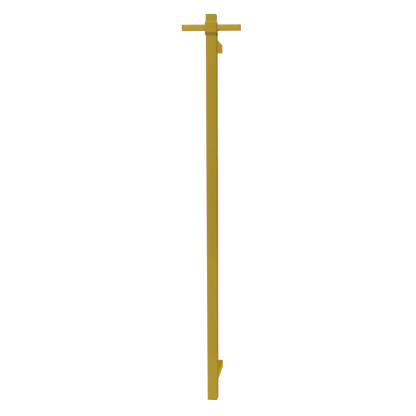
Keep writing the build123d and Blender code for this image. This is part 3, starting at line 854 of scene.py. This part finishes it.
@dataclass
class Hanger:
    """The T hanger: collar, liner, two arms with end caps, and their set screws."""

    body: Body = Body.HANGER
    ease: EasedEdges = field(default_factory=EasedEdges)
    cap_ease: EasedEdges = field(default_factory=lambda: EasedEdges(width=0.4 * MM))

    def build(self) -> None:
        """Makes and installs every piece of the hanger."""
        collar = self.ease.make("hanger_collar", "hanger_collar_eased", Palette.COLLAR_BRASS,
                                Grain.UPRIGHT)
        install(collar, self.body, Palette.COLLAR_BRASS, "hanger_collar")
        liner = self.ease.make("hanger_liner", "hanger_liner_eased", Palette.NYLON, Grain.NONE)
        install(liner, self.body, Palette.NYLON, "hanger_liner")
        for side in ("left", "right"):
            arm = self.ease.make(f"hanger_arm_{side}", f"hanger_arm_{side}_eased",
                                 Palette.ARM_BRASS, Grain.SIDEWAYS)
            install(arm, self.body, Palette.ARM_BRASS, f"hanger_arm_{side}")
            cap = self.cap_ease.make(f"arm_cap_{side}", f"arm_cap_{side}_eased",
                                     Palette.ARM_BRASS, Grain.UPRIGHT)
            install(cap, self.body, Palette.ARM_BRASS, f"arm_cap_{side}")
        self.arm_screws()
        self.clamp_screw()

    def arm_screws(self) -> None:
        """The set screw under each arm."""
        node = "arm_set_screws"
        middle, size = node_size(node)
        radius = size.y / 2
        start = (middle.x - size.x / 2 + radius, middle.y, middle.z)
        values = {"Radius": radius, "Length": size.z, "Start": start, "Count": 2,
                  "Step": (size.x - 2 * radius, 0.0, 0.0), "Turn": (math.pi, 0.0, 0.0)}
        screws = Trees.SET_SCREW.value.bake(node + "_threaded", Palette.SCREW, Grain.NONE, values)
        install(screws, self.body, Palette.SCREW, node)

    def clamp_screw(self) -> None:
        """The set screw in the collar's back that clamps the hanger on the tongue."""
        node = "hanger_set_screw"
        middle, size = node_size(node)
        values = {"Radius": size.x / 2, "Length": size.y, "Start": tuple(middle),
                  "Turn": (-math.pi / 2, 0.0, 0.0)}
        screw = Trees.SET_SCREW.value.bake(node + "_threaded", Palette.SCREW, Grain.NONE, values)
        install(screw, self.body, Palette.SCREW, node)


@dataclass
class WallBracket:
    """One stand-off: the sleeve and the anchor block that it slides over."""

    place: str
    body: Body = Body.RAIL
    ease: EasedEdges = field(default_factory=EasedEdges)

    def build(self) -> None:
        """Makes and installs the sleeve and the anchor."""
        sleeve = f"bracket_sleeve_{self.place}"
        piece = self.ease.make(sleeve, sleeve + "_eased", Palette.SLEEVE_BRASS, Grain.INWARD)
        install(piece, self.body, Palette.SLEEVE_BRASS, sleeve)
        anchor = f"wall_anchor_{self.place}"
        piece = self.ease.make(anchor, anchor + "_eased", Palette.ANCHOR, Grain.SIDEWAYS)
        install(piece, self.body, Palette.ANCHOR, anchor)


@dataclass
class BracketFasteners:
    """Bolts, washers, rivet nuts and set screws of both brackets."""

    body: Body = Body.RAIL
    head_height: float = 6.0 * MM
    set_screw_length: float = 3.4 * MM

    def build(self) -> None:
        """Makes and installs every fastener, and dresses the rivet nuts."""
        dress(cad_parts["rivet_nuts"], Palette.SCREW, Grain.NONE)
        self.bolts()
        self.washers()
        self.set_screws()

    def pitch(self, node: str, height: float) -> tuple[Triple, Triple]:
        """The lower piece's place and the step to the upper one.

        Args:
            node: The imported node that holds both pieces.
            height: One piece's height.

        Returns:
            The middle of the lower piece, and the step.
        """
        middle, size = node_size(node)
        start = (middle.x, middle.y, middle.z - size.z / 2 + height / 2)
        return start, (0.0, 0.0, size.z - height)

    def bolts(self) -> None:
        """The bolt in each sleeve."""
        node = "bracket_bolts"
        low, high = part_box(node)
        start, step = self.pitch(node, high.x - low.x)
        length = high.y - low.y - self.head_height
        values = {"Head Radius": (high.x - low.x) / 2, "Head Height": self.head_height,
                  "Length": length, "Start": (start[0], high.y - self.head_height, start[2]),
                  "Count": 2, "Step": step, "Turn": (-math.pi / 2, 0.0, 0.0)}
        bolts = Trees.BOLT.value.bake(node + "_knurled", Palette.SCREW, Grain.NONE, values)
        install(bolts, self.body, Palette.SCREW, node)

    def washers(self) -> None:
        """The washer under each bolt's head."""
        node = "bracket_washers"
        _, size = node_size(node)
        start, step = self.pitch(node, size.x)
        values = {"Outer Radius": size.x / 2, "Thickness": size.y, "Start": start, "Count": 2,
                  "Step": step, "Turn": (-math.pi / 2, 0.0, 0.0)}
        washers = Trees.WASHER.value.bake(node + "_rounded", Palette.SCREW, Grain.NONE, values)
        install(washers, self.body, Palette.SCREW, node)

    def set_screws(self) -> None:
        """The set screw under each sleeve."""
        node = "bracket_set_screws"
        _, size = node_size(node)
        start, step = self.pitch(node, self.set_screw_length)
        values = {"Radius": size.x / 2, "Length": self.set_screw_length, "Start": start, "Count": 2,
                  "Step": step, "Turn": (math.pi, 0.0, 0.0)}
        screws = Trees.SET_SCREW.value.bake(node + "_threaded", Palette.SCREW, Grain.NONE, values)
        install(screws, self.body, Palette.SCREW, node)


@dataclass
class HeatingElement:
    """What heats the bar: carrier strip, cable, clips, leaf springs, splice and cut-out."""

    body: Body = Body.RAIL
    cable_radius: float = 2.0 * MM
    clip_count: int = 8
    clip_height: float = 8.0 * MM
    spring_count: int = 4
    bend_share: float = 0.999   # a full half turn would leave no straight run at the top

    def build(self) -> None:
        """Makes and installs every piece of the element."""
        dress(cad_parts["element_carrier"], Palette.CARRIER, Grain.UPRIGHT)
        for node in ("splice_housing", "thermal_cutout"):
            dress(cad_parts[node], Palette.BLACK, Grain.NONE)
        self.cable()
        self.clips()
        self.springs()

    def cable(self) -> None:
        """The heating cable: up the bar, over and down again."""
        node = "heating_cable"
        low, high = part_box(node)
        radius = self.cable_radius
        y = (low.y + high.y) / 2
        left, right, top = low.x + radius, high.x - radius, high.z - radius
        route = route_curve(node + "_route", [(left, y, low.z), (left, y, top), (right, y, top),
                                              (right, y, low.z)])
        values = {"Radius": radius, "Bend Radius": (right - left) / 2 * self.bend_share}
        cable = Trees.TUBE.value.bake(node + "_run", Palette.SILICONE, Grain.UPRIGHT, values, route)
        install(cable, self.body, Palette.SILICONE, node)

    def clips(self) -> None:
        """The row of clips that hold the cable on the carrier."""
        node = "cable_clips"
        middle, size = node_size(node)
        step = (size.z - self.clip_height) / (self.clip_count - 1)
        start = (middle.x, middle.y, middle.z - size.z / 2 + self.clip_height / 2)
        values = {"Width": size.x, "Depth": size.y, "Height": self.clip_height, "Start": start,
                  "Count": self.clip_count, "Step": (0.0, 0.0, step)}
        clips = Trees.CLIP.value.bake(node + "_row", Palette.NYLON, Grain.NONE, values)
        install(clips, self.body, Palette.NYLON, node)

    def springs(self) -> None:
        """The row of leaf springs behind the carrier."""
        node = "carrier_springs"
        low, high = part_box(node)
        _, clip_size = node_size("cable_clips")
        step = 2 * (clip_size.z - self.clip_height) / (self.clip_count - 1)
        chord = high.z - low.z - step * (self.spring_count - 1)
        start = (0.0, high.y, low.z + chord / 2)
        values = {"Chord": chord, "Rise": high.y - low.y, "Width": high.x - low.x, "Start": start,
                  "Count": self.spring_count, "Step": (0.0, 0.0, step)}
        springs = Trees.SPRING.value.bake(node + "_row", Palette.SPRING, Grain.UPRIGHT, values)
        install(springs, self.body, Palette.SPRING, node)


@dataclass
class LeadSet:
    """The inner lead from the splice to the wall, with its grommet and gland."""

    body: Body = Body.RAIL
    lead_radius: float = 2.0 * MM
    bend_radius: float = 13.0 * MM

    def build(self) -> None:
        """Makes and installs the lead and dresses what it passes through."""
        node = "supply_lead"
        low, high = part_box(node)
        x, y, z = (low.x + high.x) / 2, low.y + self.lead_radius, low.z + self.lead_radius
        route = route_curve(node + "_route", [(x, y, high.z), (x, y, z), (x, high.y, z)])
        values = {"Radius": self.lead_radius, "Bend Radius": self.bend_radius}
        lead = Trees.TUBE.value.bake(node + "_run", Palette.JACKET, Grain.NONE, values, route)
        install(lead, self.body, Palette.JACKET, node)
        for part in ("lead_grommet", "wall_gland"):
            dress(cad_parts[part], Palette.RUBBER, Grain.NONE)


# Studio


@dataclass(frozen=True)
class Softbox:
    """A soft rectangular lamp."""

    name: str
    place: Triple
    aim: Triple
    size: tuple[float, float]
    power: float

    def build(self) -> None:
        """Hangs the lamp in its place, turned to its aim."""
        light = bpy.data.lights.new(self.name, "AREA")
        light.shape = "RECTANGLE"
        light.size, light.size_y = self.size
        light.energy = self.power
        lamp = bpy.data.objects.new(self.name, light)
        lamp.location = self.place
        beam = Vector(self.aim) - Vector(self.place)
        lamp.rotation_euler = beam.to_track_quat("-Z", "Y").to_euler()
        bpy.context.scene.collection.objects.link(lamp)


@dataclass
class Studio:
    """Pale floor, white surround, soft lamps and the camera."""

    floor_drop: float = 0.30
    floor_side: float = 60.0
    floor_colour: Colour = (0.93, 0.93, 0.93)
    speck_frequency: float = 40.0
    speck_share: float = 0.98
    surround: float = 1.1
    camera_place: Triple = (0.2323, -1.4217, 0.1797)
    camera_yaw: float = 3.875
    camera_pitch: float = 5.871
    camera_roll: float = 0.403
    lens: float = 47.68
    shift: tuple[float, float] = (-0.149, -0.0216)

    def build(self) -> None:
        """Makes the whole studio."""
        self.floor()
        self.surroundings()
        self.lamps()
        self.camera()

    def floor(self) -> None:
        """A wide plain floor below the rail."""
        half = self.floor_side / 2
        height = CAD_BOX[0].z - self.floor_drop
        mesh = bpy.data.meshes.new("studio_floor")
        corners = [(-half, -half, height), (half, -half, height), (half, half, height),
                   (-half, half, height)]
        mesh.from_pydata(corners, [], [(0, 1, 2, 3)])
        floor = mesh_object("studio_floor", mesh)
        tree = ShaderTree("studio_floor")
        specks = tree.noise(Grain.NONE.stretch, self.speck_frequency, 2.0)
        pale = (*self.floor_colour, 1.0)
        darker = (*(part * self.speck_share for part in self.floor_colour), 1.0)
        tree.put(tree.surface.inputs["Base Color"], tree.blend(specks, pale, darker))
        tree.put(tree.surface.inputs["Roughness"], 0.9)
        floor.data.materials.append(tree.material)

    def surroundings(self) -> None:
        """A white surround that gives soft light from all sides."""
        world = bpy.data.worlds.new("studio_surround")
        world.use_nodes = True
        background = world.node_tree.nodes["Background"]
        background.inputs["Color"].default_value = (1.0, 1.0, 1.0, 1.0)
        background.inputs["Strength"].default_value = self.surround
        bpy.context.scene.world = world

    def lamps(self) -> None:
        """Soft lamps from the front left, from the front above and from above."""
        middle = tuple((CAD_BOX[0] + CAD_BOX[1]) / 2)
        for lamp in (
            Softbox("key_softbox", (-1.6, -1.8, 0.4), middle, (1.0, 2.8), 9.0),
            Softbox("front_softbox", (-0.6, -1.7, 2.1), middle, (2.6, 1.8), 7.0),
            Softbox("top_softbox", (0.0, 0.4, 2.4), middle, (2.4, 2.4), 30.0),
        ):
            lamp.build()

    def camera(self) -> None:
        """The camera, in front of the rail and to its right."""
        lens = bpy.data.cameras.new("studio_camera")
        lens.lens = self.lens
        lens.shift_x, lens.shift_y = self.shift
        camera = bpy.data.objects.new("studio_camera", lens)
        yaw = Matrix.Rotation(math.radians(self.camera_yaw), 4, "Z")
        pitch = Matrix.Rotation(math.radians(90.0 - self.camera_pitch), 4, "X")
        roll = Matrix.Rotation(math.radians(self.camera_roll), 4, "Z")
        camera.matrix_world = Matrix.Translation(self.camera_place) @ yaw @ pitch @ roll
        bpy.context.scene.collection.objects.link(camera)
        bpy.context.scene.camera = camera
        bpy.context.scene.view_settings.view_transform = "Standard"


def main() -> None:
    """Builds the rail and its studio."""
    logging.basicConfig(level=logging.INFO, format="%(name)s: %(message)s")
    Studio().build()
    parts = (Bar(), Hanger(), WallBracket("upper"), WallBracket("lower"), BracketFasteners(),
             HeatingElement(), LeadSet())
    for part in parts:
        LOG.info("building %s", type(part).__name__)
        part.build()


if __name__ == "__main__":
    main()
